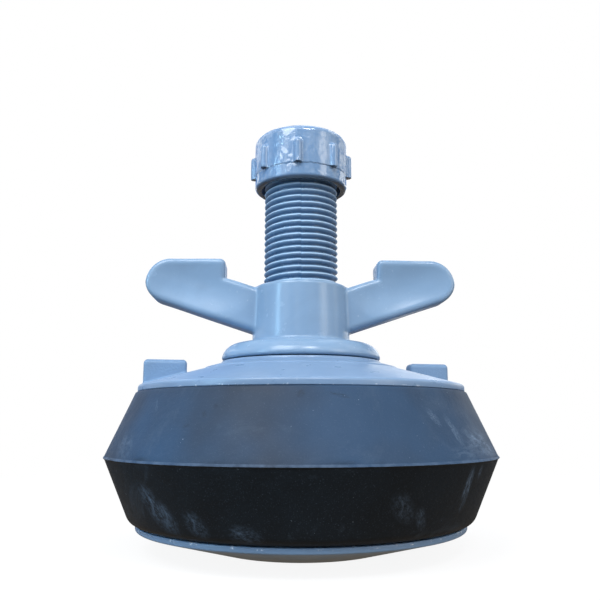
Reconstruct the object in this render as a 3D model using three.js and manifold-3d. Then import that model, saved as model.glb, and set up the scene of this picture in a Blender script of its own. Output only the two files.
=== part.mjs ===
// Pipe end sealing plug: two plates squeeze a rubber ring when the wing nut is screwed down the hollow stem.
// Millimetres, +Z up along the stem. The plug stands on the flat middle of its base plate.
import * as THREE from "three";
import { mergeVertices } from "three/addons/utils/BufferGeometryUtils.js";
import Module from "manifold-3d";

const wasm = await Module();
wasm.setup();

// Fits
const seatGap = 0.3; // between pieces that rest on each other
const runningGap = 0.3; // around the thread and around the ring's bore

// Small moulded edges and inner corners
const edgeRounding = 0.3;
const innerFillet = 0.8;

// Stem thread, of the G 1/2 pipe size
const threadRadius = 10.48;
const threadDepth = 1.16;
const threadPitch = 1.814;
const crestShare = 0.26; // part of the pitch that is the flat crest
const stemBoreRadius = 6.8;
const stemLength = 102.1; // above the base plate's rim
const stemTipChamfer = 1;
const stemRootHeight = 6.8; // of the cone from the base plate's sleeve to the stem

// Seal ring
const ringHeight = 32.7;
const ringTopRadius = 44.25;
const ringRidgeRadius = 51.8;
const ringBottomRadius = 44.6;
const ringBoreRadius = 33;
const ridgeHeight = 16.3; // of the ridge above the ring's bottom
const ridgeLip = 0.35; // moulding lip that stands out round the ridge
const ringBottomRounding = 3;

// Both plates
const coneSlope = 15.3; // degrees
const plateWall = 3;
const ringGuideHeight = 5.2; // of the collar that reaches into the ring
const ringGuideWall = 2;
const hubWall = 3.4; // of each plate's sleeve round the stem or the thread

// Base plate
const baseRadius = 43.05;
const baseRimHeight = 1.3;
const baseFlatRadius = 22.9;
const baseFlatRounding = 3;

// Pressure plate
const plateRadius = 43.85;
const plateRimHeight = 1.4;
const plateRimRounding = 0.9;
const plateStepRadius = 26.5;
const plateStepHeight = 0.3;
const plateBossHeight = 0.55;
const plateTurn = 11; // degrees about the stem, at rest
const lugInnerRadius = 30.5;
const lugLength = 12.4;
const lugThickness = 4.6;
const lugTopAboveRim = 7;
const lugRounding = 1.3;

// Wing nut
const flangeRadius = 21.95;
const flangeHeight = 4;
const flangeRounding = 2.2;
const flangeDraft = 0.4; // how much narrower the flange is at its top
const flangeCrown = 1; // rise from the flange's edge to the hub
const hubTopWall = 2.27; // round the thread
const hubBottomWall = 2.82;
const hubHeight = 15.8; // above the flange
const hubRounding = 0.8;
const nutTurn = 2.4; // degrees about the stem, at rest
const wingReach = 43.3;
const wingThickness = 10;
const wingSlope = 18.4; // degrees
const wingNeckHeight = 12.7;
const wingTopAboveHub = 7.6;
const wingStepRadius = 21.2; // where the wing's inner shoulder stands
const wingTipFlat = 0.46; // straight stretch between the tip's two rounded corners
const wingHeelRounding = 4.4;
const wingShoulderRounding = 1.9;
const wingEdgeRounding = 1.2;
const dishLength = 25;
const dishHeight = 10.4;
const dishDepth = 1.5;
const dishRise = 12; // degrees, of the dish's long axis
const dishInset = 1.5; // of the dish's middle from the middle of the wing's tall part, towards the stem

// Screw cap and its gasket
const capWall = 2.67; // round the thread
const capBandSetback = 0.15; // of the smooth band behind the ribbed wall
const capMouthFlare = 0.57;
const capMouthDepth = 2.4;
const capCeiling = 2.3;
const capSkirt = 11; // how far the cap reaches down past the stem's top
const capBandHeight = 4.1;
const capTopRounding = 2;
const capLipRounding = 1.1;
const gasketThickness = 1.7;
const ribCount = 8;
const ribRadius = 1.05;
const ribStandOut = 1.3;
const ribHeight = 6.9;
const ribTipRounding = 0.84;
const firstRib = -3.5; // degrees from the front

// How far the nut drives the plate down on the ring
const tightenTravel = 10;

// Fineness of the curves
const roundSteps = 48;
const smallRoundSteps = 32;
const ribSteps = 10;
const threadSteps = 18;
const turnedArcSteps = 2;
const slabArcSteps = 5;
const slabEdgeSteps = 2;
const dishSteps = 20;
const dishRows = 12;

// Heights and radii that follow from the sizes above
const slopeOf = (degrees) => Math.tan(THREE.MathUtils.degToRad(degrees));
const coneRise = (outer, inner) => (outer - inner) * slopeOf(coneSlope);
const sleeveRadius = threadRadius + runningGap; // bore of the nut, the plate and the cap
const hubTopRadius = sleeveRadius + hubTopWall;
const hubBottomRadius = sleeveRadius + hubBottomWall;
const capRadius = sleeveRadius + capWall;
const capBandRadius = capRadius - capBandSetback;
const capMouthRadius = sleeveRadius + capMouthFlare;
const ringGuideRadius = ringBoreRadius - runningGap;
const guideInnerRadius = ringGuideRadius - ringGuideWall;
const baseTop = coneRise(baseRadius, baseFlatRadius) + baseRimHeight;
const ringBottom = baseTop + seatGap;
const ringTop = ringBottom + ringHeight;
const plateBottom = ringTop + seatGap;
const plateRimTop = plateBottom + plateRimHeight;
const plateStepBottom = plateRimTop + coneRise(plateRadius, plateStepRadius);
const plateStepTop = plateStepBottom + plateStepHeight;
const plateBossBottom = plateStepTop + coneRise(plateStepRadius, flangeRadius);
const plateTop = plateBossBottom + plateBossHeight;
const nutBottom = plateTop + seatGap;
const flangeTop = nutBottom + flangeHeight;
const hubBottom = flangeTop + flangeCrown;
const hubTop = hubBottom + hubHeight;
const stemTop = baseTop + stemLength;
const gasketBottom = stemTop + seatGap;
const gasketTop = gasketBottom + gasketThickness;
const capInnerTop = gasketTop + seatGap;
const capTop = capInnerTop + capCeiling;
const capBottom = stemTop - capSkirt;
const capBandTop = capBottom + capBandHeight;

// Lists the points of a closed outline through corners [x, y, rounding].
function outlineOf(corners, arcSteps) {
  const points = corners.map(([x, y]) => new THREE.Vector2(x, y));
  return corners.flatMap(([, , rounding = 0], i) => {
    if (rounding === 0) return [points[i]];
    return roundedCorner(points.at(i - 1), points[i], points[(i + 1) % points.length], rounding, arcSteps);
  });
}

function roundedCorner(before, corner, after, rounding, arcSteps) {
  const back = before.clone().sub(corner).normalize();
  const ahead = after.clone().sub(corner).normalize();
  const halfAngle = Math.acos(back.dot(ahead)) / 2;
  const setback = rounding / Math.tan(halfAngle);
  const centre = back.clone().add(ahead).setLength(rounding / Math.sin(halfAngle)).add(corner);
  const start = back.clone().multiplyScalar(setback).add(corner).sub(centre).angle();
  const end = ahead.clone().multiplyScalar(setback).add(corner).sub(centre).angle();
  const clockwise = back.cross(ahead) > 0;
  const arc = new THREE.EllipseCurve(centre.x, centre.y, rounding, rounding, start, end, clockwise);
  return arc.getPoints(arcSteps);
}

// Makes a solid of a closed geometry.
function solidOf(geometry) {
  const bare = geometry.clone();
  bare.deleteAttribute("normal");
  bare.deleteAttribute("uv");
  const merged = mergeVertices(bare, 1e-4);
  const corners = [...merged.index.array];
  const triVerts = [];
  for (let i = 0; i < corners.length; i += 3) {
    const [a, b, c] = corners.slice(i, i + 3);
    if (a !== b && b !== c && c !== a) triVerts.push(a, b, c);
  }
  return new wasm.Manifold(
    new wasm.Mesh({
      numProp: 3,
      vertProperties: merged.attributes.position.array,
      triVerts: new Uint32Array(triVerts),
    }),
  );
}

// Turns a closed outline, drawn as radius and height, about the stem's axis.
function turned(corners, steps) {
  const profile = outlineOf(corners, turnedArcSteps);
  return solidOf(new THREE.LatheGeometry([...profile, profile[0]], steps).rotateX(Math.PI / 2));
}

// Cuts a slab with softened edges from an outline drawn as x and z, centred on y = 0.
function slab(corners, thickness, edge) {
  const shape = new THREE.Shape(outlineOf(corners, slabArcSteps));
  const geometry = new THREE.ExtrudeGeometry(shape, {
    depth: thickness - 2 * edge,
    bevelThickness: edge,
    bevelSize: edge,
    bevelOffset: -edge,
    bevelSegments: slabEdgeSteps,
  });
  return solidOf(geometry.translate(0, 0, edge - thickness / 2).rotateX(Math.PI / 2));
}

function rod(radius, bottom, top, steps) {
  return turned([[0, bottom], [radius, bottom], [radius, top], [0, top]], steps);
}

function toMesh(name, solid, material) {
  const { vertProperties, triVerts } = solid.getMesh();
  const geometry = new THREE.BufferGeometry();
  geometry.setAttribute("position", new THREE.BufferAttribute(vertProperties, 3));
  geometry.setIndex(new THREE.BufferAttribute(triVerts, 1));
  geometry.computeVertexNormals();
  const mesh = new THREE.Mesh(geometry, material);
  mesh.name = name;
  return mesh;
}

// A rod with a single right-hand helical ridge. Its rows of points climb one pitch each turn, so the
// last point of a row is the first point of the row one turn higher.
function helicalRod(bottom, top) {
  const flank = (1 - crestShare) / 2;
  const ridge = [
    { share: 0, radius: threadRadius - threadDepth },
    { share: flank, radius: threadRadius },
    { share: flank + crestShare, radius: threadRadius },
  ];
  const turns = Math.ceil((top - bottom) / threadPitch) + 3;
  const lastRow = (turns - 1) * ridge.length;
  const start = bottom - 2 * threadPitch;
  const index = (row, step) => {
    return step === threadSteps ? index(row + ridge.length, 0) : row * threadSteps + step;
  };
  const positions = [];
  for (let row = 0; row < turns * ridge.length + 1; row += 1) {
    const { share, radius } = ridge[row % ridge.length];
    for (let step = 0; step < threadSteps; step += 1) {
      const turned = step / threadSteps;
      const angle = turned * 2 * Math.PI;
      const turn = Math.floor(row / ridge.length) + share + turned;
      positions.push(radius * Math.cos(angle), radius * Math.sin(angle), start + turn * threadPitch);
    }
  }
  const triangles = [];
  for (let row = 0; row < lastRow; row += 1) {
    for (let step = 0; step < threadSteps; step += 1) {
      triangles.push(index(row, step), index(row, step + 1), index(row + 1, step + 1));
      triangles.push(index(row, step), index(row + 1, step + 1), index(row + 1, step));
    }
  }
  const rimOf = (row) => {
    const rim = Array.from({ length: threadSteps + 1 }, (_, step) => index(row, step));
    for (let above = ridge.length - 1; above >= 0; above -= 1) rim.push(index(row + above, 0));
    return rim;
  };
  closeWithFan(positions, triangles, rimOf(0).reverse());
  closeWithFan(positions, triangles, rimOf(lastRow));
  const geometry = new THREE.BufferGeometry();
  geometry.setAttribute("position", new THREE.Float32BufferAttribute(positions, 3));
  geometry.setIndex(triangles);
  return solidOf(geometry);
}

// Closes one end of the helical rod with a fan about a point on the axis.
function closeWithFan(positions, triangles, rim) {
  const middle = positions.length / 3;
  positions.push(0, 0, positions[3 * rim[0] + 2]);
  for (let i = 0; i < rim.length - 1; i += 1) triangles.push(middle, rim[i], rim[i + 1]);
}

function threadedStem(bottom) {
  const blank = turned(
    [
      [0, bottom],
      [threadRadius + seatGap, bottom],
      [threadRadius + seatGap, stemTop - stemTipChamfer],
      [threadRadius - stemTipChamfer, stemTop],
      [0, stemTop],
    ],
    smallRoundSteps,
  );
  return helicalRod(bottom, stemTop).intersect(blank);
}

// Base plate and hollow stem, one moulding
function makeBase() {
  const floor = plateWall;
  const sleeve = threadRadius + hubWall;
  const threadBottom = nutBottom - tightenTravel - threadPitch;
  const coneHeight = (radius) => coneRise(radius, baseFlatRadius);
  const plate = turned(
    [
      [0, 0],
      [baseFlatRadius, 0, baseFlatRounding],
      [baseRadius, baseTop - baseRimHeight, edgeRounding],
      [baseRadius, baseTop, edgeRounding],
      [ringGuideRadius, baseTop],
      [ringGuideRadius, baseTop + ringGuideHeight, edgeRounding],
      [guideInnerRadius, baseTop + ringGuideHeight],
      [guideInnerRadius, floor + coneHeight(guideInnerRadius)],
      [baseFlatRadius, floor],
      [sleeve, floor, innerFillet],
      [threadRadius, floor + stemRootHeight, innerFillet],
      [threadRadius, threadBottom],
      [0, threadBottom],
    ],
    roundSteps,
  );
  const stem = threadedStem(threadBottom - seatGap);
  const bore = rod(stemBoreRadius, -seatGap, stemTop + seatGap, smallRoundSteps);
  return plate.add(stem).subtract(bore);
}

function makeSealRing() {
  const ridge = ringBottom + ridgeHeight;
  return turned(
    [
      [ringBoreRadius, ringBottom],
      [ringBottomRadius, ringBottom, ringBottomRounding],
      [ringRidgeRadius - ridgeLip, ridge - ridgeLip],
      [ringRidgeRadius, ridge],
      [ringRidgeRadius - ridgeLip, ridge + ridgeLip],
      [ringTopRadius, ringTop, edgeRounding],
      [ringBoreRadius, ringTop],
    ],
    roundSteps,
  );
}

function makePressurePlate() {
  const sleeve = sleeveRadius + hubWall;
  const roof = plateTop - plateWall;
  const plate = turned(
    [
      [sleeveRadius, plateBottom],
      [sleeve, plateBottom, edgeRounding],
      [sleeve, roof, innerFillet],
      [flangeRadius, roof],
      [guideInnerRadius, roof - coneRise(guideInnerRadius, flangeRadius)],
      [guideInnerRadius, plateBottom - ringGuideHeight],
      [ringGuideRadius, plateBottom - ringGuideHeight, edgeRounding],
      [ringGuideRadius, plateBottom],
      [plateRadius, plateBottom, edgeRounding],
      [plateRadius, plateRimTop, plateRimRounding],
      [plateStepRadius, plateStepBottom],
      [plateStepRadius, plateStepTop],
      [flangeRadius, plateBossBottom],
      [flangeRadius, plateTop, edgeRounding],
      [sleeveRadius, plateTop],
    ],
    roundSteps,
  );
  return plate.add(makeLug(0)).add(makeLug(180)).rotate([0, 0, plateTurn]);
}

function makeLug(angle) {
  const outer = lugInnerRadius + lugLength;
  const top = plateRimTop + lugTopAboveRim;
  const outline = [
    [lugInnerRadius, plateBottom + seatGap],
    [outer, plateBottom + seatGap],
    [outer, top, lugRounding],
    [lugInnerRadius, top, lugRounding],
  ];
  return slab(outline, lugThickness, lugRounding / 2).rotate([0, 0, angle]);
}

function makeWingNut() {
  const hub = turned(
    [
      [sleeveRadius, nutBottom],
      [flangeRadius, nutBottom, edgeRounding],
      [flangeRadius - flangeDraft, flangeTop, flangeRounding],
      [hubBottomRadius, hubBottom, innerFillet],
      [hubTopRadius, hubTop, hubRounding],
      [sleeveRadius, hubTop],
    ],
    roundSteps,
  );
  const bore = rod(sleeveRadius, nutBottom - seatGap, hubTop + wingTopAboveHub, roundSteps);
  return hub.add(makeWing(0)).add(makeWing(180)).subtract(bore).rotate([0, 0, nutTurn]);
}

function makeWing(angle) {
  const root = sleeveRadius;
  const rise = (from, to) => (to - from) * slopeOf(wingSlope);
  const neckTop = hubTop - hubRounding / 2;
  const neckBottom = neckTop - wingNeckHeight;
  const heel = neckBottom + rise(hubTopRadius, wingReach);
  const wingTop = hubTop + wingTopAboveHub;
  const heelSetback = wingHeelRounding * slopeOf((90 - wingSlope) / 2);
  const tipRounding = wingTop - heel - heelSetback - wingTipFlat;
  const outline = [
    [root, neckBottom - rise(root, hubTopRadius)],
    [wingReach, heel, wingHeelRounding],
    [wingReach, wingTop, tipRounding],
    [wingStepRadius, wingTop, wingShoulderRounding],
    [wingStepRadius, neckTop + rise(hubTopRadius, wingStepRadius)],
    [root, neckTop - rise(root, hubTopRadius)],
  ];
  const dishPlace = [
    (wingStepRadius + wingReach) / 2 - dishInset,
    wingThickness / 2,
    (neckTop + rise(hubTopRadius, wingStepRadius) + heel) / 2,
  ];
  const [x, y, z] = dishPlace;
  const dish = makeDish();
  return slab(outline, wingThickness, wingEdgeRounding)
    .subtract(dish.translate([x, y, z]))
    .subtract(dish.translate([x, -y, z]))
    .rotate([0, 0, angle]);
}

// The hollow for a thumb: an ellipsoid sunk half its thickness into the wing's face
function makeDish() {
  const ball = new THREE.SphereGeometry(1, dishSteps, dishRows);
  ball.scale(dishLength / 2, dishDepth, dishHeight / 2);
  ball.rotateY(-THREE.MathUtils.degToRad(dishRise));
  return solidOf(ball);
}

function makeCap() {
  let cap = turned(
    [
      [0, capInnerTop],
      [sleeveRadius, capInnerTop],
      [sleeveRadius, capBottom + capMouthDepth],
      [capMouthRadius, capBottom + capMouthDepth],
      [capMouthRadius, capBottom],
      [capBandRadius, capBottom, capLipRounding],
      [capBandRadius, capBandTop],
      [capRadius, capBandTop],
      [capRadius, capTop, capTopRounding],
      [0, capTop],
    ],
    roundSteps,
  );
  const rib = turned(
    [
      [0, capBandTop],
      [ribRadius, capBandTop],
      [ribRadius, capBandTop + ribHeight, ribTipRounding],
      [0, capBandTop + ribHeight],
    ],
    ribSteps,
  ).translate([0, ribRadius - capRadius - ribStandOut, 0]);
  for (let i = 0; i < ribCount; i += 1) {
    cap = cap.add(rib.rotate([0, 0, firstRib + (i * 360) / ribCount]));
  }
  return cap;
}

function makeGasket() {
  return rod(threadRadius, gasketBottom, gasketTop, smallRoundSteps);
}

const plastic = (color) => new THREE.MeshStandardMaterial({ color, roughness: 0.42, metalness: 0 });
const rubber = (color) => new THREE.MeshStandardMaterial({ color, roughness: 0.78, metalness: 0 });

const plug = new THREE.Group();
plug.add(toMesh("base_with_threaded_stem", makeBase(), plastic("#7f99b3")));
plug.add(toMesh("seal_ring", makeSealRing(), rubber("#23292e")));
plug.add(toMesh("pressure_plate", makePressurePlate(), plastic("#859fba")));
plug.add(toMesh("wing_nut", makeWingNut(), plastic("#86a3c0")));
plug.add(toMesh("cap_gasket", makeGasket(), rubber("#1d1f21")));
plug.add(toMesh("screw_cap", makeCap(), plastic("#8aa6c4")));

export default plug;
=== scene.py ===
import math

import bmesh
import bpy
import numpy as np
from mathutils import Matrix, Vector


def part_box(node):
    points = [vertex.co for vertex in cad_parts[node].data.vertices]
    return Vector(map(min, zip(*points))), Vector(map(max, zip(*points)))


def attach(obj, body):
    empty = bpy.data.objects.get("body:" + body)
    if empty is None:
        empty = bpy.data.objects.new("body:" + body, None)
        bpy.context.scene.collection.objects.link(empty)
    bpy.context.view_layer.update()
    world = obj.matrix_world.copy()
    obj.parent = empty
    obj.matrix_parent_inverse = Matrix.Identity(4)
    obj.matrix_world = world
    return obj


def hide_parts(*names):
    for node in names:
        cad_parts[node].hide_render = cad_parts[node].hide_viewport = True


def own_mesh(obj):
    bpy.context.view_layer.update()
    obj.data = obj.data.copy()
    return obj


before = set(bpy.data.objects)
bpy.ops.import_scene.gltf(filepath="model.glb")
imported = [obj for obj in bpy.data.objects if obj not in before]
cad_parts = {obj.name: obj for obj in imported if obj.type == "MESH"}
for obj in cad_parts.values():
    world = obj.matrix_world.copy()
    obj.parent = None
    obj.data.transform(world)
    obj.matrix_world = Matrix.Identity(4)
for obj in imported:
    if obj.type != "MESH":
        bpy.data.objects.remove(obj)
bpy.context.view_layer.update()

# The looks of a pipe end sealing plug. Sizes are in millimetres, and make_object turns them into metres.
MM = 0.001

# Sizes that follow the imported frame
def node_box(name):
    low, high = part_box(name)
    return np.array(low) / MM, np.array(high) / MM


BASE_NODE = "base_with_threaded_stem"
RING_LOW, RING_HIGH = node_box("seal_ring")
NUT_LOW, NUT_HIGH = node_box("wing_nut")
CAP_LOW, CAP_HIGH = node_box("screw_cap")
SEAT_GAP = 0.3
RUNNING_GAP = 0.3
CONE_SLOPE = math.tan(math.radians(15.3))

# Thread
THREAD_R = 10.48
THREAD_DEPTH = 1.16
THREAD_PITCH = 1.814
# One pitch of the thread, as (share of the pitch, share of the depth): a round crest over a wide valley
THREAD_PROFILE = [
    (0, 0),
    (0.1, 0.03),
    (0.2, 0.2),
    (0.29, 0.46),
    (0.38, 0.76),
    (0.45, 0.93),
    (0.53, 1),
    (0.61, 0.96),
    (0.7, 0.84),
    (0.79, 0.6),
    (0.89, 0.28),
    (0.96, 0.06),
]
THREAD_TIP = 1.2
PARTING_STEP = 0.14
PARTING_NICK = 0.12
SLEEVE_R = THREAD_R + RUNNING_GAP
SLEEVE_WALL = 3.4
BORE_R = 6.8
STEM_TOP = node_box(BASE_NODE)[1][2]

# Base plate
BASE_R = 43.05
BASE_TOP = RING_LOW[2] - SEAT_GAP
BASE_RIM = 1.3
BASE_FLAT_R = 22.9
GUIDE_R = 32.7
GUIDE_INNER_R = 30.7
GUIDE_HEIGHT = 5.2
WALL = 3.0
STEM_ROOT = 7.0

# Seal ring
RING_BORE_R = 33.0
RING_TOP_R = 44.25
RING_RIDGE_R = RING_HIGH[0]
RING_BOTTOM_R = 44.6
RIDGE_Z = RING_LOW[2] + 16.3
RING_LIP = 0.45
LIP_WAVE = 0.16
SKIN_WAVE = 0.1

# Pressure plate
PLATE_R = 43.85
PLATE_BOTTOM = RING_HIGH[2] + SEAT_GAP
PLATE_RIM_TOP = PLATE_BOTTOM + 1.4
PLATE_RIM_DROP = 0.25
PLATE_RIM_LIP = 0.6
PLATE_STEP_R = 26.5
PLATE_STEP_HEIGHT = 0.3
PLATE_TOP = NUT_LOW[2] - SEAT_GAP
PLATE_BOSS = 0.55
PLATE_TURN = math.radians(11)
LUG_INNER_R = 31.3
LUG_LENGTH = 11.3
LUG_THICKNESS = 4.6
LUG_TOP = PLATE_RIM_TOP + 7
LUG_FILLET = 0.7
LUG_BORDER = 0.8

# Where the stem's thread starts below the plate, and how far the plain stem reaches into it
THREAD_BOTTOM = PLATE_BOTTOM - 7
PLAIN_STEM_TOP = THREAD_BOTTOM + 1

# Wing nut
NUT_TURN = math.radians(2.4)
FLANGE_R = 21.95
FLANGE_TOP = NUT_LOW[2] + 4
FLANGE_CROWN = 1.0
HUB_TOP = NUT_HIGH[2] - 7.6
HUB_TOP_R = 13.05
HUB_BOTTOM_R = 13.6
WING_REACH = 43.3
WING_THICKNESS = 10.0
WING_SLOPE = math.tan(math.radians(18.4))
WING_NECK = 12.7
WING_STEP_R = 21.2
WING_TOP = NUT_HIGH[2]
WING_TIP_ROUNDING = 7.0
DISH_SIZES = (20.5, 9.2, 11.0)
DISH_TILT = math.radians(13)
DISH_DROP = 7.4
DISH_OFFSET = 7.4

# Screw cap
CAP_R = 13.45
CAP_BAND_R = 13.3
CAP_MOUTH_R = 11.35
CAP_BOTTOM = CAP_LOW[2]
CAP_TOP = CAP_HIGH[2]
CAP_BAND_TOP = CAP_BOTTOM + 4.1
CAP_CEILING = CAP_TOP - 2.3
RIB_COUNT = 8
RIB_R = 1.05
RIB_STAND_OUT = 1.3
RIB_HEIGHT = 6.9
FIRST_RIB = math.radians(-3.5)
CAP_FLASH = 0.14

# Chalk on the rubber: start and end as (degrees from the front, height), then width and strength
CHALK_MARKS = [
    ((48.3, 23.4), (49.2, 11.8), 1.7, 1.0),
    ((53.1, 23.0), (53.8, 18.8), 1.1, 0.7),
    ((36.0, 35.2), (40.0, 31.0), 1.3, 0.9),
    ((42.5, 34.2), (46.6, 26.2), 1.4, 1.0),
    ((38.0, 25.0), (74.0, 25.0), 3.0, 0.9),
    ((46.0, 29.0), (68.0, 26.0), 4.0, 0.8),
    ((-46.8, 19.6), (-37.0, 8.4), 3.6, 0.6),
    ((-40.0, 16.0), (-35.0, 7.6), 2.6, 0.5),
    ((-31.5, 14.0), (-25.0, 8.0), 2.8, 0.45),
    ((-20.0, 10.5), (-9.0, 8.4), 2.6, 0.4),
    ((22.5, 18.0), (30.0, 11.0), 2.8, 0.35),
    ((30.7, 15.0), (34.7, 9.0), 1.6, 0.4),
    ((-60.0, 29.0), (-47.0, 24.4), 4.0, 0.4),
    ((-47.0, 37.6), (-43.8, 34.0), 0.6, 0.4),
    ((128.0, 30.0), (140.0, 25.0), 3.4, 0.5),
    ((165.0, 20.0), (172.0, 9.0), 2.6, 0.5),
    ((-150.0, 34.0), (-141.0, 27.0), 1.6, 0.5),
    ((-118.0, 18.0), (-108.0, 9.0), 3.2, 0.5),
]
# Small dark nicks in the rubber's skin, placed in the same way, with their widths
NICKS = [
    ((-0.9, 38.8), (0.6, 37.2), 1.3),
    ((-32.0, 31.0), (-29.2, 31.5), 0.6),
    ((-26.6, 34.6), (-25.1, 32.9), 0.8),
    ((-23.8, 35.8), (-22.3, 35.0), 0.7),
    ((6.5, 38.3), (14.0, 37.0), 0.6),
    ((156.0, 33.0), (158.0, 31.5), 0.8),
]

SMOOTH_ANGLE = math.radians(34)
REST_PLACE = "rest_place"
LATHE_STEPS = 256


# Meshes
def make_object(name, vertices, faces, material, body, replaced):
    mesh = bpy.data.meshes.new(name)
    mesh.from_pydata((np.asarray(vertices) * MM).tolist(), [], [list(map(int, f)) for f in faces])
    mesh.validate()
    mesh.shade_smooth()
    mesh.set_sharp_from_angle(angle=SMOOTH_ANGLE)
    mesh.materials.append(material)
    piece = bpy.data.objects.new(name, mesh)
    bpy.context.scene.collection.objects.link(piece)
    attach(piece, body)
    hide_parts(replaced)
    return piece


def rounded_outline(corners, arc_steps=6):
    """Points of a closed outline through corners (x, y, rounding)."""
    points = [np.array(c[:2], float) for c in corners]
    outline = []
    for i, corner in enumerate(corners):
        rounding = corner[2] if len(corner) > 2 else 0
        here, before, after = points[i], points[i - 1], points[(i + 1) % len(points)]
        if rounding == 0:
            outline.append(here)
            continue
        back = (before - here) / np.linalg.norm(before - here)
        ahead = (after - here) / np.linalg.norm(after - here)
        half = math.acos(np.clip(back @ ahead, -1, 1)) / 2
        middle = back + ahead
        centre = here + middle / np.linalg.norm(middle) * rounding / math.sin(half)
        start = here + back * rounding / math.tan(half) - centre
        end = here + ahead * rounding / math.tan(half) - centre
        from_angle = math.atan2(start[1], start[0])
        turn = math.atan2(end[1], end[0]) - from_angle
        turn = (turn + math.pi) % (2 * math.pi) - math.pi
        for step in range(arc_steps + 1):
            angle = from_angle + turn * step / arc_steps
            outline.append(centre + rounding * np.array([math.cos(angle), math.sin(angle)]))
    return outline


def split_long_edges(outline, longest):
    """Adds points along the straight stretches, so that the surface can carry a fine wave."""
    result = []
    for i, here in enumerate(outline):
        after = outline[(i + 1) % len(outline)]
        parts = max(1, math.ceil(np.linalg.norm(after - here) / longest))
        result += [here + (after - here) * k / parts for k in range(parts)]
    return result


def quads_between(rows, width, columns):
    """Quads between each row of points and the next, with the last row joined to the first."""
    faces = []
    for row in range(rows):
        here = row * width
        above = (row + 1) % rows * width
        for step in range(columns):
            beside = (step + 1) % width
            faces.append((here + step, here + beside, above + beside, above + step))
    return faces


def turned_grid(outline, steps=LATHE_STEPS):
    """Vertices and quads of a closed outline (radius, height) turned about Z."""
    outline = np.array(outline)
    angles = np.arange(steps) * 2 * math.pi / steps
    radius, height = outline[:, 0], outline[:, 1]
    x = radius[:, None] * np.cos(angles)
    y = radius[:, None] * np.sin(angles)
    z = np.repeat(height[:, None], steps, axis=1)
    vertices = np.stack([x, y, z], -1).reshape(-1, 3)
    return vertices, quads_between(len(outline), steps, steps)


# Distance functions, joined with rounded edges
def both(a, b, radius):
    """Where a and b overlap, with the outer edge rounded."""
    outside = np.hypot(np.maximum(a + radius, 0), np.maximum(b + radius, 0))
    return np.minimum(-radius, np.maximum(a, b)) + outside


def either(a, b, radius):
    """a and b together, with the inner corner filled by a fillet."""
    inside = np.hypot(np.maximum(radius - a, 0), np.maximum(radius - b, 0))
    return np.maximum(radius, np.minimum(a, b)) - inside


def ellipsoid(x, y, z, sizes):
    a, b, c = sizes
    near = np.sqrt((x / a) ** 2 + (y / b) ** 2 + (z / c) ** 2)
    far = np.sqrt((x / a**2) ** 2 + (y / b**2) ** 2 + (z / c**2) ** 2)
    return near * (near - 1) / np.maximum(far, 1e-9)


def mesh_surface(distance, low, high, cells, rounds=3):
    """The surface where distance(x, y, z) is zero, with one vertex for each cell that it crosses."""
    axes = [np.arange(a, b + c, c) for a, b, c in zip(low, high, cells)]
    x, y, z = np.meshgrid(*axes, indexing="ij")
    inside = distance(x, y, z) < 0
    count = sum(
        inside[i : i - 1 or None, j : j - 1 or None, k : k - 1 or None].astype(np.int8)
        for i in (0, 1)
        for j in (0, 1)
        for k in (0, 1)
    )
    crossed = (count > 0) & (count < 8)
    index = np.full(crossed.shape, -1)
    index[crossed] = np.arange(crossed.sum())
    where = np.argwhere(crossed)
    points = np.stack([axes[n][where[:, n]] + cells[n] / 2 for n in range(3)], -1)
    faces = np.concatenate([quads_across(inside, index, axis) for axis in range(3)])
    points = settle(points, distance)
    for _ in range(rounds):
        points = settle(relaxed(points, faces), distance)
    return points, faces


def quads_across(inside, index, axis):
    """One quad round each grid edge along an axis whose two ends lie on different sides of the surface."""
    here = np.take(inside, range(inside.shape[axis] - 1), axis)
    there = np.take(inside, range(1, inside.shape[axis]), axis)
    edges = np.argwhere(here != there)
    u, v = (axis + 1) % 3, (axis + 2) % 3
    edges = edges[(edges[:, u] > 0) & (edges[:, v] > 0)]
    edges = edges[(edges[:, u] < index.shape[u]) & (edges[:, v] < index.shape[v])]
    corners = []
    for du, dv in ((0, 0), (-1, 0), (-1, -1), (0, -1)):
        cell = edges.copy()
        cell[:, u] += du
        cell[:, v] += dv
        corners.append(index[cell[:, 0], cell[:, 1], cell[:, 2]])
    quads = np.stack(corners, -1)
    leaving = here[edges[:, 0], edges[:, 1], edges[:, 2]]
    quads[~leaving] = quads[~leaving][:, ::-1]
    return quads


def relaxed(points, faces):
    """Each point moved to the mean of its neighbours."""
    total = np.zeros_like(points)
    count = np.zeros(len(points))
    for side in range(4):
        a, b = faces[:, side], faces[:, (side + 1) % 4]
        for near, far in ((a, b), (b, a)):
            for n in range(3):
                total[:, n] += np.bincount(near, points[far, n], len(points))
            count += np.bincount(near, minlength=len(points))
    return total / np.maximum(count, 1)[:, None]


def settle(points, distance, steps=4, nudge=0.01, least_steepness=0.2):
    """Moves points onto the surface along the steepest way."""
    for _ in range(steps):
        x, y, z = points.T
        value = distance(x, y, z)
        slope = np.stack(
            [
                distance(x + nudge, y, z) - distance(x - nudge, y, z),
                distance(x, y + nudge, z) - distance(x, y - nudge, z),
                distance(x, y, z + nudge) - distance(x, y, z - nudge),
            ],
            -1,
        ) / (2 * nudge)
        steepness = np.maximum((slope**2).sum(-1), least_steepness)
        points = points - slope * (value / steepness)[:, None]
    return points


def turn_about_z(vertices, angle):
    c, s = math.cos(angle), math.sin(angle)
    x, y, z = vertices.T
    return np.stack([c * x - s * y, s * x + c * y, z], -1)


def wave(angle, seed, terms):
    """A smooth wave round the axis, between about -1 and 1, that closes on itself."""
    random = np.random.default_rng(seed)
    total = np.zeros_like(angle)
    for turns in terms:
        total += random.uniform(0.5, 1) * np.sin(turns * angle + random.uniform(0, 2 * math.pi))
    return total / math.sqrt(len(terms))


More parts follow.
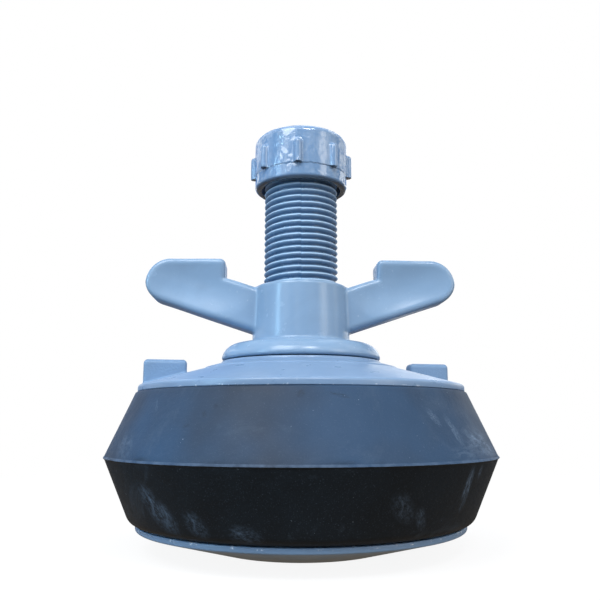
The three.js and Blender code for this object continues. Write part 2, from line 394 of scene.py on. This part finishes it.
# Materials
def new_material(name):
    material = bpy.data.materials.new(name)
    material.use_nodes = True
    tree = material.node_tree
    return material, tree, tree.nodes["Principled BSDF"]


def add(tree, kind, **values):
    """A new node with its inputs set by name."""
    node = tree.nodes.new(kind)
    for name, value in values.items():
        node.inputs[name.replace("_", " ")].default_value = value
    return node


def link(tree, out, into):
    tree.links.new(out, into)


def object_coordinates(tree):
    return add(tree, "ShaderNodeTexCoord").outputs["Object"]


def rest_coordinates(tree):
    """The place of each point before the piece is squeezed, so that marks stay on their spot."""
    place = tree.nodes.new("ShaderNodeAttribute")
    place.attribute_name = REST_PLACE
    return place.outputs["Vector"]


def noise(tree, coordinates, scale, detail=3.0, roughness=0.5, distortion=0.0):
    settings = {"Scale": scale, "Detail": detail, "Roughness": roughness, "Distortion": distortion}
    node = add(tree, "ShaderNodeTexNoise", **settings)
    link(tree, coordinates, node.inputs["Vector"])
    return node.outputs["Fac"]


def ramp(tree, value, stops):
    """A colour ramp through (place, colour) stops; a plain number stands for a grey."""
    node = tree.nodes.new("ShaderNodeValToRGB")
    elements = node.color_ramp.elements
    while len(elements) < len(stops):
        elements.new(0.5)
    for element, (place, colour) in zip(elements, stops):
        element.position = place
        element.color = (colour,) * 3 + (1,) if isinstance(colour, (int, float)) else (*colour, 1)
    link(tree, value, node.inputs["Fac"])
    return node.outputs["Color"]


def mix(tree, factor, a, b, blend="MIX"):
    node = tree.nodes.new("ShaderNodeMix")
    node.data_type = "RGBA"
    node.blend_type = blend
    for value, socket in ((factor, node.inputs[0]), (a, node.inputs[6]), (b, node.inputs[7])):
        if isinstance(value, bpy.types.NodeSocket):
            link(tree, value, socket)
        elif isinstance(value, tuple):
            socket.default_value = (*value, 1)
        else:
            socket.default_value = value
    return node.outputs[2]


def linear(red, green, blue):
    """A colour given as 0 to 255 on screen, in the renderer's own scale."""
    scaled = [c / 255 for c in (red, green, blue)]
    return tuple(c / 12.92 if c <= 0.04045 else ((c + 0.055) / 1.055) ** 2.4 for c in scaled)


def upward_part(tree, vector):
    split = tree.nodes.new("ShaderNodeSeparateXYZ")
    link(tree, vector, split.inputs[0])
    return split.outputs["Z"]


def upward_lean(tree):
    """How far the surface faces up: 1 level and upwards, -1 level and downwards."""
    return upward_part(tree, add(tree, "ShaderNodeTexCoord").outputs["Normal"])


def facing_up(tree):
    """1 where the surface leans upwards and 0 where it leans down; it places the rubber's painted sky
    reflection.
    """
    return ramp(tree, upward_lean(tree), [(0.1, 0.0), (0.35, 1.0)])


def distance_from_axis(tree, coordinates):
    flat = tree.nodes.new("ShaderNodeVectorMath")
    flat.operation = "MULTIPLY"
    flat.inputs[1].default_value = (1, 1, 0)
    link(tree, coordinates, flat.inputs[0])
    length = tree.nodes.new("ShaderNodeVectorMath")
    length.operation = "LENGTH"
    link(tree, flat.outputs["Vector"], length.inputs[0])
    return length.outputs["Value"]


def bump(tree, shader, height, strength, distance):
    node = add(tree, "ShaderNodeBump", Strength=strength, Distance=distance)
    link(tree, height, node.inputs["Height"])
    link(tree, node.outputs["Normal"], shader.inputs["Normal"])


def paint_over(material, factor, colour, blend="MIX"):
    """Lays a colour over a material's own base colour."""
    tree = material.node_tree
    base = tree.nodes["Principled BSDF"].inputs["Base Color"]
    plain = base.links[0].from_socket
    link(tree, mix(tree, factor, plain, colour, blend), base)


def make_plastic(name, colour, gloss_low, gloss_high, relief=0.09):
    """Moulded grey-blue plastic: faint flow clouds, uneven gloss and fine dust."""
    material, tree, shader = new_material(name)
    where = object_coordinates(tree)
    clouds = noise(tree, where, 55, detail=4, roughness=0.55, distortion=0.6)
    darker = tuple(0.9 * c for c in colour)
    lighter = tuple(min(1, 1.07 * c) for c in colour)
    tint = ramp(tree, clouds, [(0.3, darker), (0.7, lighter)])
    specks = ramp(tree, noise(tree, where, 1500, detail=1), [(0.71, 0.0), (0.76, 1.0)])
    patches = ramp(tree, noise(tree, where, 90, detail=2), [(0.5, 0.0), (0.7, 0.16)])
    dust = mix(tree, 1.0, specks, patches, "MULTIPLY")
    link(tree, mix(tree, dust, tint, linear(225, 232, 238)), shader.inputs["Base Color"])
    streaks = noise(tree, where, 210, detail=5, roughness=0.6)
    link(tree, ramp(tree, streaks, [(0.3, gloss_low), (0.7, gloss_high)]), shader.inputs["Roughness"])
    grain = noise(tree, where, 700, detail=2)
    swell = noise(tree, where, 60, detail=2)
    bump(tree, shader, mix(tree, 0.75, grain, swell), relief, 0.0006)
    shader.inputs["IOR"].default_value = 1.5
    return material


def on_ring(degrees, height):
    """The point of the seal ring's outside at an angle from the front and a height."""
    above = max(height - RIDGE_Z, 0) / (RING_HIGH[2] - RIDGE_Z)
    below = max(RIDGE_Z - height, 0) / (RIDGE_Z - RING_LOW[2])
    radius = RING_RIDGE_R - above * (RING_RIDGE_R - RING_TOP_R) - below * (RING_RIDGE_R - RING_BOTTOM_R)
    angle = math.radians(degrees)
    return Vector((radius * math.sin(angle), -radius * math.cos(angle), height)) * MM


def streak(tree, coordinates, start, end, width):
    """A fibrous smear between two places on the ring: up to 1 along its middle, 0 outside it."""
    start, end = on_ring(*start), on_ring(*end)
    place = tree.nodes.new("ShaderNodeMapping")
    place.vector_type = "TEXTURE"
    place.inputs["Location"].default_value = (start + end) / 2
    place.inputs["Rotation"].default_value = (end - start).to_track_quat("Z", "Y").to_euler()
    place.inputs["Scale"].default_value = (width * MM, width * MM, (end - start).length / 2)
    link(tree, coordinates, place.inputs["Vector"])
    spot = tree.nodes.new("ShaderNodeTexGradient")
    spot.gradient_type = "SPHERICAL"
    link(tree, place.outputs["Vector"], spot.inputs["Vector"])
    fibres = noise(tree, place.outputs["Vector"], 3.4, detail=9, roughness=0.8, distortion=0.4)
    fibres = ramp(tree, fibres, [(0.44, 0.0), (0.72, 1.0)])
    return times(tree, ramp(tree, spot.outputs["Fac"], [(0.0, 0.0), (0.6, 1.0)]), fibres)


def times(tree, a, b):
    node = tree.nodes.new("ShaderNodeMath")
    node.operation = "MULTIPLY"
    for value, socket in ((a, node.inputs[0]), (b, node.inputs[1])):
        if isinstance(value, bpy.types.NodeSocket):
            link(tree, value, socket)
        else:
            socket.default_value = value
    return node.outputs[0]


def at_height(tree, coordinates, height, half_width):
    """1 in a level band of the object, 0 outside it."""
    band = tree.nodes.new("ShaderNodeMath")
    band.operation = "COMPARE"
    band.inputs[1].default_value = height * MM
    band.inputs[2].default_value = half_width * MM
    link(tree, upward_part(tree, coordinates), band.inputs[0])
    return band.outputs[0]


def at_ridge(tree, coordinates):
    """The moulding line round the ring's ridge, broken up by noise."""
    broken = ramp(tree, noise(tree, coordinates, 420, detail=4), [(0.38, 0.05), (0.66, 0.55)])
    return times(tree, at_height(tree, coordinates, RIDGE_Z + 0.15, 0.28), broken)


def make_rubber():
    """Black rubber with a painted bluish sky reflection where it faces up, a pale moulding line, chalk,
    specks and nicks.
    """
    material, tree, shader = new_material("seal_rubber")
    where = rest_coordinates(tree)
    mottle = noise(tree, where, 70, detail=5, roughness=0.6, distortion=0.4)
    clouds = noise(tree, where, 26, detail=3, roughness=0.5)
    skin = ramp(tree, mottle, [(0.3, linear(5, 15, 22)), (0.7, linear(11, 22, 30))])
    # Painted sky reflection: a lighter bluish tone on the faces that lean up
    sky_sheen = ramp(tree, clouds, [(0.36, linear(36, 45, 58)), (0.62, linear(40, 70, 100))])
    sky_sheen = mix(tree, times(tree, mottle, 0.35), sky_sheen, linear(36, 46, 60))
    skin = mix(tree, facing_up(tree), skin, sky_sheen)

    grain = noise(tree, where, 3600, detail=2, roughness=0.6)
    grain = ramp(tree, grain, [(0.6, 0.0), (0.76, 0.25)])
    skin = mix(tree, grain, skin, linear(98, 110, 124))
    smear = noise(tree, where, 44, detail=7, roughness=0.72, distortion=1.2)
    skin = mix(tree, ramp(tree, smear, [(0.57, 0.0), (0.78, 0.25)]), skin, linear(92, 108, 124))

    for start, end, width, strength in CHALK_MARKS:
        smudge = times(tree, streak(tree, where, start, end, width), strength)
        skin = mix(tree, smudge, skin, linear(118, 140, 164))
    for start, end, width in NICKS:
        skin = mix(tree, streak(tree, where, start, end, width), skin, linear(14, 19, 26))
    skin = mix(tree, at_ridge(tree, where), skin, linear(84, 104, 128))

    specks = noise(tree, where, 1700, detail=2, roughness=0.5)
    specks = ramp(tree, specks, [(0.735, 0.0), (0.77, 0.7)])
    specks = times(tree, specks, ramp(tree, noise(tree, where, 75, detail=3), [(0.5, 0.0), (0.64, 1.0)]))
    skin = mix(tree, specks, skin, linear(150, 166, 180))
    link(tree, skin, shader.inputs["Base Color"])
    link(tree, ramp(tree, mottle, [(0.3, 0.5), (0.7, 0.64)]), shader.inputs["Roughness"])
    shader.inputs["Specular IOR Level"].default_value = 0.28
    bump(tree, shader, noise(tree, where, 420, detail=5, roughness=0.65), 0.22, 0.0005)
    return material


def make_gasket_rubber():
    material, tree, shader = new_material("gasket_rubber")
    where = object_coordinates(tree)
    mottle = noise(tree, where, 200, detail=4)
    colour = ramp(tree, mottle, [(0.3, linear(24, 25, 27)), (0.7, linear(40, 41, 44))])
    link(tree, colour, shader.inputs["Base Color"])
    link(tree, ramp(tree, mottle, [(0.3, 0.5), (0.7, 0.7)]), shader.inputs["Roughness"])
    return material


def make_thread_plastic():
    """The stem's plastic: pale on the crests of the thread as a painted highlight, and darker in its valleys
    as painted shade.
    """
    material = make_plastic("thread_plastic", linear(168, 197, 222), 0.22, 0.3)
    tree = material.node_tree
    radius = distance_from_axis(tree, object_coordinates(tree))
    reach = add(tree, "ShaderNodeMapRange", From_Min=(THREAD_R - THREAD_DEPTH) * MM, From_Max=THREAD_R * MM)
    link(tree, radius, reach.inputs["Value"])
    # Painted shade deep in the thread's valleys and a painted highlight on its crests, set by the distance
    # from the axis
    stops = [(0.0, linear(128, 148, 170)), (0.72, linear(186, 199, 212)), (0.96, linear(255, 255, 255))]
    paint_over(material, 1.0, ramp(tree, reach.outputs["Result"], stops), "MULTIPLY")
    return material


def add_flash(material, band, strength):
    """Pale torn specks of moulding flash in a level band (height, half width)."""
    tree = material.node_tree
    where = object_coordinates(tree)
    torn = ramp(tree, noise(tree, where, 480, detail=5, roughness=0.7), [(0.58, 0.0), (0.66, strength)])
    paint_over(material, times(tree, at_height(tree, where, *band), torn), linear(226, 236, 244))


def add_painted_shade_below(material):
    """Painted shade: darker colour on the faces that look down."""
    tree = material.node_tree
    down = add(tree, "ShaderNodeMapRange", From_Min=-0.3, From_Max=-0.85)
    link(tree, upward_lean(tree), down.inputs["Value"])
    paint_over(material, down.outputs["Result"], linear(52, 60, 68))


def make_base_plastic():
    material = make_plastic("base_plastic", linear(120, 150, 182), 0.3, 0.44)
    add_flash(material, (BASE_TOP - 0.25, 0.35), 0.8)
    return material


def make_plate_plastic():
    material = make_plastic("plate_plastic", linear(121, 148, 179), 0.26, 0.36, relief=0.035)
    add_flash(material, (PLATE_BOTTOM - 0.1, 0.25), 0.9)
    return material


def make_lug_plastic():
    """The lugs have a coarse matt grain."""
    material = make_plastic("lug_plastic", linear(112, 142, 174), 0.44, 0.56)
    tree = material.node_tree
    coarse = noise(tree, object_coordinates(tree), 2100, detail=2)
    bump(tree, tree.nodes["Principled BSDF"], coarse, 0.3, 0.0003)
    return material


def make_cap_plastic():
    """The cap's plastic has a glassy skin, dulled in patches by finger marks."""
    material = make_plastic("cap_plastic", linear(108, 141, 177), 0.16, 0.26)
    tree = material.node_tree
    shader = tree.nodes["Principled BSDF"]
    where = object_coordinates(tree)
    marks = noise(tree, where, 130, detail=4, roughness=0.6, distortion=1.0)
    link(tree, ramp(tree, marks, [(0.48, 0.03), (0.56, 0.16)]), shader.inputs["Coat Roughness"])
    ripple = add(tree, "ShaderNodeBump", Strength=0.6, Distance=0.002)
    link(tree, noise(tree, where, 110, detail=3, roughness=0.55, distortion=0.5), ripple.inputs["Height"])
    link(tree, ripple.outputs["Normal"], shader.inputs["Coat Normal"])
    # Painted shade on the cap's downward faces
    add_painted_shade_below(material)
    add_flash(material, (CAP_BAND_TOP + 0.1, 0.3), 0.7)
    shader.inputs["Coat Weight"].default_value = 1.0
    shader.inputs["Coat IOR"].default_value = 1.5
    return material


BASE_PLASTIC = make_base_plastic()
PLATE_PLASTIC = make_plate_plastic()
NUT_PLASTIC = make_plastic("nut_plastic", linear(129, 157, 185), 0.22, 0.28)
CAP_PLASTIC = make_cap_plastic()
LUG_PLASTIC = make_lug_plastic()
THREAD_PLASTIC = make_thread_plastic()
RUBBER = make_rubber()
GASKET_RUBBER = make_gasket_rubber()


# Pieces
def make_base_plate():
    sleeve = THREAD_R + SLEEVE_WALL
    core = THREAD_R - 0.1
    outline = rounded_outline(
        [
            (BORE_R, 0, 0.5),
            (BASE_FLAT_R, 0, 5),
            (BASE_R, BASE_TOP - BASE_RIM, 0.5),
            (BASE_R, BASE_TOP, 0.25),
            (GUIDE_R, BASE_TOP),
            (GUIDE_R, BASE_TOP + GUIDE_HEIGHT, 0.6),
            (GUIDE_INNER_R, BASE_TOP + GUIDE_HEIGHT, 0.3),
            (GUIDE_INNER_R, WALL + (GUIDE_INNER_R - BASE_FLAT_R) * CONE_SLOPE),
            (BASE_FLAT_R, WALL),
            (sleeve, WALL, 1.5),
            (core, WALL + STEM_ROOT, 1),
            (core, PLAIN_STEM_TOP),
            (BORE_R, PLAIN_STEM_TOP),
        ]
    )
    vertices, faces = turned_grid(outline)
    make_object("base_plate", vertices, faces, BASE_PLASTIC, "base", BASE_NODE)


def thread_angles(steps=96):
    """Even steps round the stem, with more of them at the two parting lines, front and back."""
    near_seam = np.array([-0.036, -0.024, -0.012, 0.012, 0.024, 0.036])
    seams = [near_seam + 0.5 * math.pi, near_seam + 1.5 * math.pi]
    return np.sort(np.concatenate([np.arange(steps + 1) * 2 * math.pi / steps, *seams]))


def make_stem():
    """The threaded length of the stem. Its rows of points climb one pitch each turn."""
    angles = thread_angles()
    across = np.cos(angles)
    along = np.sin(angles)
    seam_shift = PARTING_STEP / 2 * np.tanh(across / 0.012)
    nick = PARTING_NICK * np.exp(-((across / 0.015) ** 2))
    turns = math.ceil((STEM_TOP - THREAD_BOTTOM) / THREAD_PITCH) + 1
    grid = []
    for turn in range(-1, turns):
        for share, lift in THREAD_PROFILE:
            climb = (turn + share + angles / (2 * math.pi)) * THREAD_PITCH
            z = THREAD_BOTTOM + climb - seam_shift
            tip = np.clip((STEM_TOP - z) / THREAD_TIP, 0, 1)
            radius = THREAD_R - THREAD_DEPTH + THREAD_DEPTH * np.maximum(lift * tip - nick * lift, 0)
            height = np.clip(z, THREAD_BOTTOM, STEM_TOP)
            grid.append(np.stack([radius * across, radius * along, height], -1))
    top = np.stack([BORE_R * across, BORE_R * along, np.full_like(angles, STEM_TOP)], -1)
    low = top * [1, 1, 0] + [0, 0, THREAD_BOTTOM]
    grid = np.array([*grid, top, low])
    width = len(angles)
    faces = quads_between(len(grid), width, width - 1)
    vertices = grid.reshape(-1, 3)
    stem = make_object("threaded_stem", vertices, faces, THREAD_PLASTIC, "base", BASE_NODE)
    clean(stem)


def clean(piece):
    """Joins points that meet and drops faces without area."""
    touching = 0.01 * MM
    work = bmesh.new()
    work.from_mesh(piece.data)
    bmesh.ops.remove_doubles(work, verts=work.verts, dist=touching)
    bmesh.ops.dissolve_degenerate(work, edges=work.edges, dist=touching)
    bmesh.ops.recalc_face_normals(work, faces=work.faces)
    work.to_mesh(piece.data)
    work.free()
    piece.data.shade_smooth()
    piece.data.set_sharp_from_angle(angle=SMOOTH_ANGLE)


def make_seal_ring():
    low, high = RING_LOW[2], RING_HIGH[2]
    outline = rounded_outline(
        [
            (RING_BORE_R, low, 0.5),
            (RING_BOTTOM_R, low, 3.2),
            (RING_RIDGE_R - RING_LIP, RIDGE_Z - RING_LIP, 0.2),
            (RING_RIDGE_R, RIDGE_Z - 0.1, 0.1),
            (RING_RIDGE_R - RING_LIP, RIDGE_Z + RING_LIP, 0.2),
            (RING_TOP_R, high, 0.8),
            (RING_BORE_R, high, 0.5),
        ],
        arc_steps=7,
    )
    vertices, faces = turned_grid(split_long_edges(outline, 1.5))
    angle = np.arctan2(vertices[:, 1], vertices[:, 0])
    radius = np.hypot(vertices[:, 0], vertices[:, 1])
    near_lip = np.exp(-(((vertices[:, 2] - RIDGE_Z) / 0.35) ** 2)) * (radius > RING_TOP_R)
    outer = (radius > RING_TOP_R - 1) * (vertices[:, 2] > low + 1) * (vertices[:, 2] < high - 0.5)
    shift = near_lip * (LIP_WAVE * wave(angle, 3, (7, 13, 29, 47)) - LIP_WAVE / 2)
    shift += outer * SKIN_WAVE * wave(angle, 5, (2, 3, 5)) * (1 - near_lip)
    shift = np.minimum(shift, RING_RIDGE_R - radius + 0.1)
    vertices[:, :2] *= (1 + shift / radius)[:, None]
    ring = make_object("rubber_ring", vertices, faces, RUBBER, "base", "seal_ring")
    places = ring.data.attributes.new(REST_PLACE, "FLOAT_VECTOR", "POINT")
    places.data.foreach_set("vector", (vertices * MM).ravel())
    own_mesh(ring)


def make_pressure_plate():
    sleeve = SLEEVE_R + SLEEVE_WALL
    roof = PLATE_TOP - WALL
    lip = PLATE_R - PLATE_RIM_LIP
    rim_bottom = PLATE_BOTTOM - PLATE_RIM_DROP
    step_bottom = PLATE_RIM_TOP + (PLATE_R - PLATE_STEP_R) * CONE_SLOPE
    outline = rounded_outline(
        [
            (SLEEVE_R, PLATE_BOTTOM, 0.3),
            (sleeve, PLATE_BOTTOM, 0.6),
            (sleeve, roof, 0.8),
            (FLANGE_R, roof),
            (GUIDE_INNER_R, roof - (GUIDE_INNER_R - FLANGE_R) * CONE_SLOPE),
            (GUIDE_INNER_R, PLATE_BOTTOM - GUIDE_HEIGHT, 0.3),
            (GUIDE_R, PLATE_BOTTOM - GUIDE_HEIGHT, 0.6),
            (GUIDE_R, PLATE_BOTTOM),
            (lip, PLATE_BOTTOM),
            (lip, rim_bottom, 0.1),
            (PLATE_R, rim_bottom, 0.2),
            (PLATE_R, PLATE_RIM_TOP, 0.85),
            (PLATE_STEP_R + 0.1, step_bottom, 0.25),
            (PLATE_STEP_R - 0.1, step_bottom + PLATE_STEP_HEIGHT, 0.25),
            (FLANGE_R + 0.1, PLATE_TOP - PLATE_BOSS, 0.25),
            (FLANGE_R - 0.05, PLATE_TOP, 0.3),
            (SLEEVE_R, PLATE_TOP),
        ]
    )
    vertices, faces = turned_grid(outline)
    make_object("plate_disc", vertices, faces, PLATE_PLASTIC, "plate", "pressure_plate")
    for number, side in enumerate((0, math.pi)):
        make_lug(number, side + PLATE_TURN)


def lug_distance(x, y, z):
    """One lug on the +X side, with a fillet that runs out just under the plate's cone."""
    sunk = 0.04
    outer = LUG_INNER_R + LUG_LENGTH
    along = np.maximum(x - outer, LUG_INNER_R - x)
    aside = np.abs(y) - LUG_THICKNESS / 2
    box = both(both(along, aside, 0.8), z - LUG_TOP, 1.2)
    radius = np.hypot(x, y)
    cone = (z - PLATE_RIM_TOP - (PLATE_R - radius) * CONE_SLOPE + sunk) / math.hypot(1, CONE_SLOPE)
    joined = either(box, cone, LUG_FILLET)
    patch = np.maximum(aside - LUG_BORDER, along - LUG_BORDER)
    inside_plate = np.maximum(PLATE_BOTTOM + 0.5 - z, radius - PLATE_R + 0.25)
    return np.maximum(np.maximum(joined, patch), inside_plate)


def make_lug(number, angle):
    room = 1.5
    low = (LUG_INNER_R - room, -LUG_THICKNESS / 2 - room, PLATE_BOTTOM)
    high = (LUG_INNER_R + LUG_LENGTH + room, LUG_THICKNESS / 2 + room, LUG_TOP + 0.5)
    vertices, faces = mesh_surface(lug_distance, low, high, (0.2, 0.2, 0.2))
    vertices = turn_about_z(vertices, angle)
    name = f"plate_lug_{number}"
    make_object(name, vertices, faces, LUG_PLASTIC, "plate", "pressure_plate")


def wing_distance(x, y, z):
    """One wing: a slab between sloping lines, with a shoulder cut and a thumb dish each side."""
    neck_top = HUB_TOP - 0.4 + (x - HUB_TOP_R) * WING_SLOPE
    slant = math.hypot(1, WING_SLOPE)
    below = (neck_top - WING_NECK - z) / slant
    above_neck = (z - neck_top) / slant
    outline = both(both(x - WING_REACH, z - WING_TOP, WING_TIP_ROUNDING), below, 4.0)
    shoulder = both(WING_STEP_R - x, outline, 1.6)
    neck = np.maximum(both(above_neck, below, 1.0), x - WING_STEP_R - 4)
    outline = np.minimum(shoulder, neck)
    slab = both(outline, np.abs(y) - WING_THICKNESS / 2, 1.7)
    middle_x = (WING_STEP_R + WING_REACH) / 2 - 1.5
    middle_z = WING_TOP - DISH_DROP
    along = (x - middle_x) * math.cos(DISH_TILT) + (z - middle_z) * math.sin(DISH_TILT)
    across = (z - middle_z) * math.cos(DISH_TILT) - (x - middle_x) * math.sin(DISH_TILT)
    depth = np.abs(y) - WING_THICKNESS / 2 - DISH_OFFSET
    dish = ellipsoid(along, depth, across, DISH_SIZES)
    return both(slab, -dish, 2.2)


def nut_distance(x, y, z):
    radius = np.hypot(x, y)
    lean = (HUB_BOTTOM_R - HUB_TOP_R) / (HUB_TOP - FLANGE_TOP - FLANGE_CROWN)
    hub = both(radius - HUB_TOP_R - (HUB_TOP - z) * lean, z - HUB_TOP, 0.8)
    crown = (FLANGE_R - radius) / (FLANGE_R - HUB_BOTTOM_R) * FLANGE_CROWN
    edge = radius - FLANGE_R + 0.1 * (z - NUT_LOW[2])
    flange = both(edge, z - FLANGE_TOP - crown, 3.4)
    body = either(hub, flange, 0.7)
    body = either(body, wing_distance(np.abs(x), y, z), 0.7)
    body = both(body, NUT_LOW[2] - z, 0.8)
    return both(body, SLEEVE_R - radius, 0.3)


def make_wing_nut():
    low = NUT_LOW - [1.0, 0, 1.0]
    high = NUT_HIGH + 1.0
    reach = WING_REACH + 1
    vertices, faces = mesh_surface(
        nut_distance, (-reach, -FLANGE_R - 1, low[2]), (reach, FLANGE_R + 1, high[2]), (0.45, 0.4, 0.4)
    )
    vertices = turn_about_z(vertices, NUT_TURN)
    make_object("wing_nut_body", vertices, faces, NUT_PLASTIC, "nut", "wing_nut")


def cap_distance(x, y, z):
    radius = np.hypot(x, y)
    angle = np.arctan2(y, x)
    flash = CAP_BAND_TOP + CAP_FLASH * wave(angle, 11, (5, 9, 17, 31, 43))
    wall = both(radius - CAP_R + 0.012 * (z - CAP_BAND_TOP), z - CAP_TOP, 2.0)
    spacing = 2 * math.pi / RIB_COUNT
    folded = (angle + math.pi / 2 - FIRST_RIB + spacing / 2) % spacing - spacing / 2
    rib_centre = CAP_R + RIB_STAND_OUT - RIB_R
    along, across = radius * np.cos(folded) - rib_centre, radius * np.sin(folded)
    over = np.maximum(z - (CAP_BAND_TOP + RIB_HEIGHT - RIB_R), 0)
    rib = np.sqrt(along**2 + across**2 + over**2) - RIB_R
    ribbed = both(either(wall, rib, 0.45), flash - z, 0.12)
    band = both(both(radius - CAP_BAND_R, CAP_BOTTOM - z, 1.2), z - CAP_BAND_TOP - 3, 0.5)
    body = np.minimum(ribbed, band)
    bore = both(radius - SLEEVE_R, z - CAP_CEILING, 0.3)
    mouth = np.maximum(radius - CAP_MOUTH_R, z - CAP_BOTTOM - 2.4)
    return both(body, -np.minimum(bore, mouth), 0.35)


def make_cap():
    reach = CAP_R + RIB_STAND_OUT + 0.6
    vertices, faces = mesh_surface(
        cap_distance, (-reach, -reach, CAP_BOTTOM - 0.5), (reach, reach, CAP_TOP + 0.5), (0.26, 0.26, 0.2)
    )
    make_object("cap_shell", vertices, faces, CAP_PLASTIC, "cap", "screw_cap")


def make_gasket():
    low, high = node_box("cap_gasket")
    outline = rounded_outline(
        [(0.4, low[2]), (THREAD_R, low[2], 0.2), (THREAD_R, high[2], 0.2), (0.4, high[2])], arc_steps=3
    )
    vertices, faces = turned_grid(outline, 96)
    make_object("gasket_disc", vertices, faces, GASKET_RUBBER, "gasket", "cap_gasket")


# Stage
def mix_shaders(tree, factor, a, b):
    node = tree.nodes.new("ShaderNodeMixShader")
    for out, into in zip((factor, a, b), node.inputs):
        link(tree, out, into)
    return node.outputs[0]


def make_floor_paper():
    """Pale paper. The camera sees it near white; the object gets dimmer, warmer light back from it, and near
    the plug the paper glows warm to rays other than the camera's, a painted warm light on the plug's
    underside.
    """
    material, tree, shader = new_material("floor_paper")
    shader.inputs["Base Color"].default_value = (0.12, 0.1, 0.08, 1)
    # Painted warm light: the paper glows warm under the plug, strongest near its axis, to light the plug's
    # underside
    shader.inputs["Emission Color"].default_value = (1.0, 0.74, 0.48, 1)
    underside_glow = add(tree, "ShaderNodeMapRange", From_Min=0.035, From_Max=0.08, To_Min=0.2, To_Max=0.02)
    from_axis = distance_from_axis(tree, object_coordinates(tree))
    link(tree, from_axis, underside_glow.inputs["Value"])
    link(tree, underside_glow.outputs["Result"], shader.inputs["Emission Strength"])
    shader.inputs["Roughness"].default_value = 0.9
    path = tree.nodes.new("ShaderNodeLightPath")
    seen = add(tree, "ShaderNodeBsdfDiffuse", Color=(0.12, 0.12, 0.12, 1))
    glow = add(tree, "ShaderNodeEmission", Strength=0.9)
    near = tree.nodes.new("ShaderNodeAddShader")
    link(tree, seen.outputs[0], near.inputs[0])
    link(tree, glow.outputs[0], near.inputs[1])
    far = add(tree, "ShaderNodeEmission", Strength=1.0)
    reach = add(tree, "ShaderNodeMapRange", From_Min=0.09, From_Max=0.3)
    link(tree, from_axis, reach.inputs["Value"])
    paper = mix_shaders(tree, reach.outputs["Result"], near.outputs[0], far.outputs[0])
    choice = mix_shaders(tree, path.outputs["Is Camera Ray"], shader.outputs[0], paper)
    link(tree, choice, tree.nodes["Material Output"].inputs["Surface"])
    return material


def make_floor():
    size = 4.0
    mesh = bpy.data.meshes.new("floor")
    corners = [(-size, -size, 0), (size, -size, 0), (size, size, 0), (-size, size, 0)]
    mesh.from_pydata(corners, [], [(0, 1, 2, 3)])
    mesh.materials.append(make_floor_paper())
    floor = bpy.data.objects.new("floor", mesh)
    bpy.context.scene.collection.objects.link(floor)


def make_world():
    """A soft sky dome with patches of cloud, white to the camera."""
    world = bpy.data.worlds.new("studio")
    bpy.context.scene.world = world
    world.use_nodes = True
    tree = world.node_tree
    background = tree.nodes["Background"]
    direction = add(tree, "ShaderNodeTexCoord").outputs["Generated"]
    heights = [(0.0, (0.42, 0.43, 0.44)), (0.35, (0.62, 0.65, 0.69)), (1.0, (0.5, 0.53, 0.58))]
    sky = ramp(tree, upward_part(tree, direction), heights)
    clouds = noise(tree, direction, 4.5, detail=4, roughness=0.6, distortion=0.6)
    soft = ramp(tree, clouds, [(0.4, (0.4, 0.5, 0.7)), (0.52, (0.8, 0.81, 0.84)), (0.62, (2.4, 2.4, 2.4))])
    crisp = ramp(tree, clouds, [(0.44, (0.2, 0.42, 0.9)), (0.52, (0.8, 0.81, 0.84)), (0.55, (3.6, 3.6, 3.5))])
    path = tree.nodes.new("ShaderNodeLightPath")
    clouds = mix(tree, path.outputs["Is Glossy Ray"], soft, crisp)
    sky = mix(tree, 1.0, sky, clouds, "MULTIPLY")
    link(tree, mix(tree, path.outputs["Is Camera Ray"], sky, (1.0, 1.0, 1.0)), background.inputs["Color"])
    background.inputs["Strength"].default_value = 1.0


def make_light(name, place, size, power, colour):
    """A soft box that shines at the middle of the plug."""
    aim = Vector((0, 0, 0.06))
    lamp = bpy.data.lights.new(name, "AREA")
    lamp.shape = "RECTANGLE"
    lamp.size, lamp.size_y = size
    lamp.energy = power
    lamp.color = colour
    light = bpy.data.objects.new(name, lamp)
    light.location = place
    light.rotation_euler = (aim - Vector(place)).to_track_quat("-Z", "Y").to_euler()
    bpy.context.scene.collection.objects.link(light)


def make_camera():
    """Stands low in front of the plug and looks a little up, as the photograph was taken."""
    focal_pixels = 663.6
    frame_pixels = 600
    distance = 0.1848
    height = (BASE_TOP + 25.06) * MM
    axis_pixel = 301.0
    pitch = math.radians(10.5)
    camera = bpy.data.cameras.new("camera")
    camera.sensor_width = 36
    camera.lens = focal_pixels / frame_pixels * camera.sensor_width
    camera.clip_start = 0.01
    holder = bpy.data.objects.new("camera", camera)
    sideways = -(axis_pixel - frame_pixels / 2) / focal_pixels * distance
    holder.location = (sideways, -distance, height)
    holder.rotation_euler = (math.pi / 2 + pitch, 0, 0)
    bpy.context.scene.collection.objects.link(holder)
    bpy.context.scene.camera = holder


make_camera()
make_base_plate()
make_stem()
make_seal_ring()
make_pressure_plate()
make_wing_nut()
make_cap()
make_gasket()
make_floor()
make_world()
make_light("key", (-0.219, -0.379, 0.5), (0.3, 0.3), 2.3, (0.94, 0.98, 1.0))
make_light("front", (0.12, -0.42, 0.5), (0.12, 0.1), 1.1, (1.0, 1.0, 1.0))
make_light("strip", (-0.415, -0.28, 0.14), (0.04, 0.3), 0.8, (0.42, 0.74, 1.0))
make_light("overhead", (0.1, 0.1, 0.7), (0.5, 0.5), 0.45, (0.94, 0.97, 1.0))
make_light("side", (0.44, -0.3, 0.2), (0.16, 0.4), 0.6, (1.0, 0.95, 0.87))

scene = bpy.context.scene
scene.view_settings.view_transform = "Standard"
